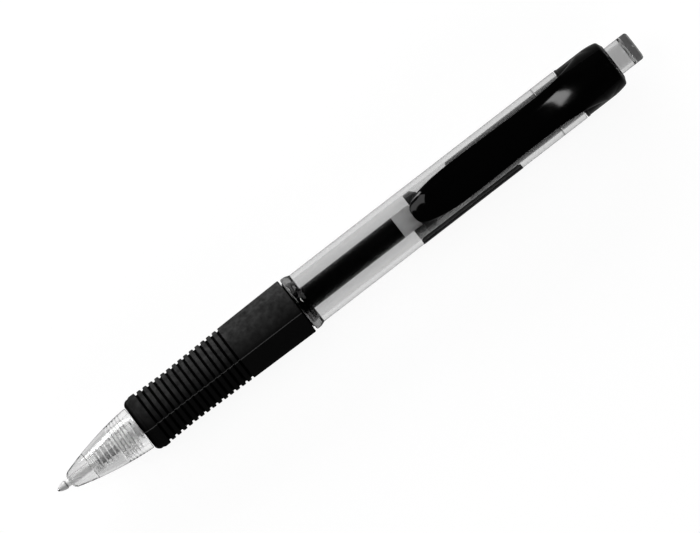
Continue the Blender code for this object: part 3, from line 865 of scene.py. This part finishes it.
fin_r = np.where(on_rail, FIN_R, PLUNGER_R)
fin_end = np.where(on_rail, FIN_END_X - RAMP * off_rail, FIN_END_X)
tooth_x = HEAD_END_X + crown(rail_angles)
rotor = turned(
    "cam_stem",
    *rows_of(
        rail_angles,
        (STEM_X, 0.0),
        (STEM_X, STEM_R - 0.3),
        (STEM_X + 0.1, STEM_R - 0.1),
        (STEM_X + 0.3, STEM_R),
        (HEAD_X - 1.0, STEM_R),
        (HEAD_X, PLUNGER_R),
        (HEAD_X + 0.2, PLUNGER_R),
        (HEAD_X + 0.2, fin_r),
        (fin_end, fin_r),
        (fin_end, PLUNGER_R),
        (HEAD_END_X, PLUNGER_R),
        (HEAD_END_X, PLUNGER_R - 0.1),
        (tooth_x, PLUNGER_R - 0.1),
        (tooth_x, PLUNGER_R - 0.5),
        (HEAD_END_X, PLUNGER_R - 0.5),
        (HEAD_END_X, 0.0),
    ),
    rail_angles,
    wrap=False,
)
dress(rotor, matt_black, "cam_rotor", "rotor")


# Push button: hollow smoky moulding with a thick flat end. Its plunger carries four guide fins and
# a crown; the head slides in the cap's hole.
BUTTON_R = 3.12
BUTTON_BORE_R = 2.32
BUTTON_END_X = 143.0
BUTTON_FACE = 1.4
BUTTON_DOME = 1.0
BUTTON_HEAD_X = 122.5
CROWN_X = 110.35
GUIDE_HALF = 15.0
GUIDE_X = CROWN_X + 2.6
GUIDE_END_X = CROWN_X + 6.0
RIM = 0.6

button_angles = stepped_angles(RAIL_PITCH / 2, RAIL_PITCH, GUIDE_HALF)
on_guide = np.abs(from_nearest(button_angles, RAIL_PITCH / 2, RAIL_PITCH)) < GUIDE_HALF
guide_r = np.where(on_guide, FIN_R, PLUNGER_R)
tooth_x = CROWN_X - crown(button_angles)
swing = np.radians(np.linspace(90, 0, 10))
rim = list(zip(BUTTON_END_X - RIM + RIM * np.cos(swing), BUTTON_R - RIM + RIM * np.sin(swing)))
inner_end = BUTTON_END_X - BUTTON_FACE
bend = np.radians(np.linspace(0, 90, 16))
hollow_x = inner_end - BUTTON_DOME * (1 - np.cos(bend))
hollow_end = list(zip(hollow_x, BUTTON_BORE_R * np.sin(bend)))[1:]
button = turned(
    "smoky_button",
    *rows_of(
        button_angles,
        (CROWN_X, BUTTON_BORE_R - 0.25),
        (CROWN_X, PLUNGER_R - 0.5),
        (tooth_x, PLUNGER_R - 0.5),
        (tooth_x, PLUNGER_R - 0.1),
        (CROWN_X, PLUNGER_R - 0.1),
        (CROWN_X, PLUNGER_R),
        (GUIDE_X, PLUNGER_R),
        (GUIDE_X, guide_r),
        (GUIDE_END_X, guide_r),
        (GUIDE_END_X, PLUNGER_R),
        (BUTTON_HEAD_X - 0.4, PLUNGER_R),
        (BUTTON_HEAD_X, BUTTON_R),
        (BUTTON_END_X - RIM - 0.1, BUTTON_R),
        *rim,
        (BUTTON_END_X, BUTTON_R - RIM - 0.1),
        (BUTTON_END_X, 0.0),
        (inner_end, 0.0),
        *hollow_end,
        (BUTTON_HEAD_X, BUTTON_BORE_R),
        (BUTTON_HEAD_X - 0.4, BUTTON_BORE_R - 0.25),
    ),
    button_angles,
)
smoke, sockets, place = finish("smoky styrene", transmission_weight=1.0, ior=1.55)
(0.06 + 0.08 * grain(place, 1.5)).to(sockets["Roughness"])
thick = stations(place).ramp(inner_end - 0.3, inner_end - 0.1)
(0.6 - 0.54 * thick + 0.06 * grain(place, 2.0)).grey().to(sockets["Base Color"])
bumped(grain(place, 0.8, stretch=(4, 1, 1)), 0.003, sockets)
dress(button, smoke, "push_button", "button")


# Cap and clip: one gloss black moulding. The cap plugs into the barrel, and the clip grows out of it
# as a canopy that narrows to a long crowned bar with a pad under its round tip. The bar is bare.
CAP_X = 127.2
CAP_END_X = 137.6
CAP_R = 5.55
CAP_DRAW_X = 133.6
CAP_DRAW_R = 13.0
CAP_DRAW_END = math.radians(76)
CAP_CORNER_R = 0.8
CAP_HOLE_R = BUTTON_R + 0.2
CLIP_TIP_X = 88.05
CLIP_TIP_LENGTH = 13.0
CLIP_HALF_WIDTH = 3.92
CLIP_WAIST_HALF_WIDTH = 3.76
CLIP_ROOT_X = 136.7
CLIP_ROOT_TOP = 5.1
CLIP_BEND_X = 117.0
FLARE_END_X = 132.4
CLIP_TOP = 8.65
CLIP_UNDER = 7.0
CLIP_PAD_X = 92.2
PAD_GAP = 0.3
BAR_X = 93.2
BAR_END_X = 121.0
CANOPY_X = 121.4


def eased(station, *stops):
    """Smooth line through (station, height) stops, level at each of them: smoothstep between neighbours."""
    at, height = np.array(stops).T
    place_between = np.interp(station, at, np.arange(len(at)))
    left = np.minimum(place_between.astype(int), len(at) - 2)
    step = place_between - left
    return height[left] + (height[left + 1] - height[left]) * step**2 * (3 - 2 * step)


def clip_half_width(station):
    """Half width from above: round tip, bar drawn in to a waist, then a flare that opens with the cube."""
    reach = np.clip((station - CLIP_TIP_X) / CLIP_TIP_LENGTH, 0, 1)
    flare = np.clip((station - CLIP_BEND_X) / (FLARE_END_X - CLIP_BEND_X), 0, 1)
    bar_x = CLIP_TIP_X + CLIP_TIP_LENGTH
    bar = eased(station, (bar_x, CLIP_HALF_WIDTH), (CLIP_BEND_X, CLIP_WAIST_HALF_WIDTH))
    width = bar * (1 - (1 - reach) ** 2.6) ** 0.32 + (CAP_R - CLIP_WAIST_HALF_WIDTH - 0.05) * flare**3
    return width - 0.17 * np.maximum(station - FLARE_END_X, 0)


def clip_surface(station, around):
    """Clip sections: side = w s^0.62, up = foot + (top - foot) c^0.4 less the crown on the bar, where s
    and c are the sine and cosine of the angle round its top; they turn into an arch over the cap."""
    under = eased(
        station,
        (CLIP_TIP_X, CLIP_UNDER - 0.1),
        (CLIP_PAD_X - 1.2, BARREL_R + PAD_GAP),
        (CLIP_PAD_X + 1.0, BARREL_R + PAD_GAP),
        (CLIP_PAD_X + 5.0, CLIP_UNDER),
        (CAP_X - 2.5, CLIP_UNDER),
        (CAP_X + 0.3, BARREL_R + PAD_GAP),
        (CAP_X + 1.0, CAP_R - 1.1),
        (CLIP_ROOT_X, CAP_R - 1.5),
    )
    top = eased(
        station,
        (CLIP_TIP_X, CLIP_UNDER + 0.25),
        (CLIP_TIP_X + 4.5, CLIP_TOP - 0.4),
        (CLIP_BEND_X, CLIP_TOP),
    )
    bend = np.clip((station - CLIP_BEND_X) / (CLIP_ROOT_X - CLIP_BEND_X), 0, 1)
    top = top - (CLIP_TOP - CLIP_ROOT_TOP) * bend**2
    width = clip_half_width(station)
    arch = eased(station, (CAP_X, 0.0), (CAP_X + 6.0, 1.0))
    crown_height = np.minimum(0.55, 0.16 * width)
    foot = under + (top - crown_height - under) * 0.3
    foot = foot + (np.minimum(foot, CAP_R * 0.2) - foot) * arch
    low = np.minimum(under, foot - 0.05)
    columns = (width, top, foot, low, arch, crown_height)
    width, top, foot, low, arch, crown_height = (column[:, None] for column in columns)
    s, c = np.sin(around), np.maximum(np.cos(around), 0)
    bar_side = width * np.sign(s) * np.abs(s) ** 0.62
    bar_up = foot + (top - foot - crown_height * s**2) * c**0.4
    arch_up = foot + (top - foot) * c
    over_y = bar_side + (width * s - bar_side) * arch
    over_z = bar_up + (arch_up - bar_up) * arch
    below = np.linspace(1, -1, 26)[1:-1]
    tuck = np.sqrt(1 - np.abs(below) ** 6)
    under_y = width * below
    under_z = foot - (foot - low) * tuck
    return np.concatenate([over_y, under_y], axis=1), np.concatenate([over_z, under_z], axis=1)


tip_steps = 0.01 + 4.5 * np.linspace(0, 1, 40) ** 2
bar_steps = np.linspace(BAR_X, BAR_END_X, 40)
canopy_steps = np.linspace(CANOPY_X, CLIP_ROOT_X, 70)
clip_x = np.concatenate([CLIP_TIP_X + tip_steps, bar_steps, canopy_steps])
around = np.pi / 2 * np.sin(np.linspace(-np.pi / 2, np.pi / 2, 61))
clip_y, clip_z = clip_surface(clip_x, around)
clip_grid = np.stack([np.broadcast_to(clip_x[:, None], clip_y.shape), clip_y, clip_z], axis=-1)
front_pole = np.broadcast_to(clip_grid[:1].mean(axis=1, keepdims=True), clip_grid[:1].shape)
rear_pole = np.broadcast_to(clip_grid[-1:].mean(axis=1, keepdims=True), clip_grid[:1].shape)
clip_grid = np.concatenate([front_pole, clip_grid, rear_pole])
clip = grid_mesh("clip_bar", clip_grid * MM + np.array([BALL_X, 0, AXIS_Z]), False)

swing = np.linspace(np.pi / 2, CAP_DRAW_END, 24)
drawn_x = CAP_DRAW_X + CAP_DRAW_R * np.cos(swing)
drawn_r = CAP_R - CAP_DRAW_R * (1 - np.sin(swing))
swing = np.linspace(CAP_DRAW_END, np.radians(8), 14)[1:]
corner_x = drawn_x[-1] + CAP_CORNER_R * (np.cos(swing) - np.cos(CAP_DRAW_END))
corner_r = drawn_r[-1] + CAP_CORNER_R * (np.sin(swing) - np.sin(CAP_DRAW_END))
cap = turned(
    "black_cap",
    *outline(
        (PLUG_X + 0.3, SLEEVE_NECK_R + 0.1, 0.05),
        (PLUG_X + 0.3, PLUG_R - 0.1, 0.1),
        (CAP_X, PLUG_R - 0.1, 0),
        (CAP_X, BARREL_R - 0.02, 0.1),
        (CAP_X + 0.5, BARREL_R - 0.02, 0.1),
        (CAP_X + 0.6, CAP_R, 0.05),
        *curve(drawn_x, drawn_r),
        *curve(corner_x, corner_r),
        (CAP_END_X + 0.1, CAP_HOLE_R + 0.4, 0.3),
        (CAP_END_X + 0.1, CAP_HOLE_R, 0.1),
        (CAP_END_X - 1.4, CAP_HOLE_R, 0.05),
        (CAP_END_X - 1.4, SLEEVE_BORE_R, 0.1),
        (SLEEVE_END_X + 0.3, SLEEVE_BORE_R, 0),
        (SLEEVE_END_X + 0.3, SLEEVE_NECK_R + 0.1, 0),
    ),
    even_angles(192),
)
weld = cap.modifiers.new("clip", "BOOLEAN")
weld.operation = "UNION"
weld.object = clip
bpy.context.view_layer.update()
welded = bpy.data.meshes.new_from_object(cap.evaluated_get(bpy.context.evaluated_depsgraph_get()))
cap.modifiers.clear()
cap.data = welded
bpy.data.objects.remove(clip)
welded.shade_smooth()
welded.set_sharp_from_angle(angle=math.radians(32))
gloss_black, sockets, place = finish(
    "gloss black plastic",
    base_color=(0.001, 0.001, 0.001),
    specular_ior_level=0.25,
)
(0.05 + 0.07 * grain(place, 3.0)).to(sockets["Roughness"])
bumped(grain(place, 0.35, detail=3.0), 0.0015, sockets)
dress(cap, gloss_black, "cap_clip", "body")


# Studio: pale floor that reads as white and keeps a soft shadow, and a camera straight above with the
# pen turned in the picture. Front, rear and left boxes are mirrored in the gloss; the side box and a
# weaker fill opposite it light the matt surfaces alone.
PICTURE = (700, 533)
PIXELS_PER_MM = 5.1
PICTURE_TURN = math.radians(37.71)
CAMERA_HEIGHT = 3000.0
CENTRE_X, CENTRE_Y = 0.76, -0.24
FLOOR_HALF = 3.0
FLOOR_Z = -0.0002
MIRRORED_FROM, MIRRORED_TO = 60 * MM, 10 * MM
POINT_FROM, POINT_TO = -66 * MM, -72 * MM

floor_mesh = bpy.data.meshes.new("floor")
corners = [(-1, -1), (1, -1), (1, 1), (-1, 1)]
floor_mesh.from_pydata([(x * FLOOR_HALF, y * FLOOR_HALF, FLOOR_Z) for x, y in corners], [], [(0, 1, 2, 3)])
floor = bpy.data.objects.new("floor", floor_mesh)
bpy.context.scene.collection.objects.link(floor)
paper, sockets, place = finish(
    "white paper",
    base_color=(0.13, 0.13, 0.13),
    roughness=0.9,
    emission_strength=1.0,
)
rays = place.node("LightPath", {}, {}, "Is Camera Ray")
glossy = place.node("LightPath", {}, {}, "Is Glossy Ray")
through = place.node("LightPath", {}, {}, "Is Transmission Ray")
aside = part_of(place, "Y")
near = aside.math("ABSOLUTE", aside).ramp(MIRRORED_FROM, MIRRORED_TO)
nose = part_of(place, "X").ramp(POINT_FROM, POINT_TO)
seen = 0.92 * rays.math("MAXIMUM", rays, through)
# Painted reflection: for glossy rays alone the floor glows near the pen, most under its nose, so that the
# pen's sides and cone mirror a light floor.
mirrored = (0.15 + 0.75 * nose) * near * near * glossy
seen.math("MAXIMUM", seen, mirrored).grey().to(sockets["Emission Color"])
floor_mesh.materials.append(paper)


def soft_box(name, place, width, depth, power):
    """Area lamp at a place in metres, turned to the pen's middle."""
    lamp = bpy.data.lights.new(name, "AREA")
    lamp.shape = "RECTANGLE"
    lamp.size = width
    lamp.size_y = depth
    lamp.energy = power
    box = bpy.data.objects.new(name, lamp)
    box.location = place
    box.rotation_euler = (-box.location).to_track_quat("-Z", "Y").to_euler()
    bpy.context.scene.collection.objects.link(box)
    return box


soft_box("front box", place=(-0.38, 0.36, 0.66), width=0.5, depth=0.5, power=1.8)
soft_box("rear box", place=(0.275, 0.095, 0.76), width=0.22, depth=0.10, power=0.71)
side_box = soft_box("side box", place=(0.0, 0.85, 0.28), width=1.2, depth=0.4, power=7.0)
fill_box = soft_box("fill box", place=(-0.1, -0.8, 0.35), width=1.2, depth=0.5, power=3.4)
for box in (side_box, fill_box):
    box.visible_glossy = False
    box.visible_transmission = False
left_box = soft_box("left box", place=(-0.19, 0.5, 0.12), width=0.14, depth=0.25, power=1.0)
left_box.visible_diffuse = False

world = bpy.data.worlds.new("studio")
world.use_nodes = True
tent = Field(world.node_tree, None)
through = tent.node("LightPath", {}, {}, "Is Transmission Ray")
scattered = tent.math("MINIMUM", tent.node("LightPath", {}, {}, "Diffuse Depth"), 1.0)
way = tent.node("TexCoord", {}, {}, "Generated")
low = part_of(way, "Z").ramp(0.7, 0.2)
left = part_of(way, "X").ramp(-0.1, -0.45)
glow = 0.006 + 0.014 * low + through * (0.2 * low + 0.5 * low * left + 1.4 * scattered)
glow.to(world.node_tree.nodes["Background"].inputs["Strength"])
world.node_tree.nodes["Background"].inputs["Color"].default_value = (1, 1, 1, 1)
bpy.context.scene.world = world

camera = bpy.data.cameras.new("camera")
camera.sensor_width = 36.0
camera.lens = camera.sensor_width * CAMERA_HEIGHT / (PICTURE[0] / PIXELS_PER_MM)
camera.clip_start = 0.01
viewer = bpy.data.objects.new("camera", camera)
viewer.location = (CENTRE_X * MM, CENTRE_Y * MM, AXIS_Z + CAMERA_HEIGHT * MM)
viewer.rotation_euler = (0, 0, -PICTURE_TURN)
bpy.context.scene.collection.objects.link(viewer)
bpy.context.scene.camera = viewer
bpy.context.scene.view_settings.view_transform = "Standard"
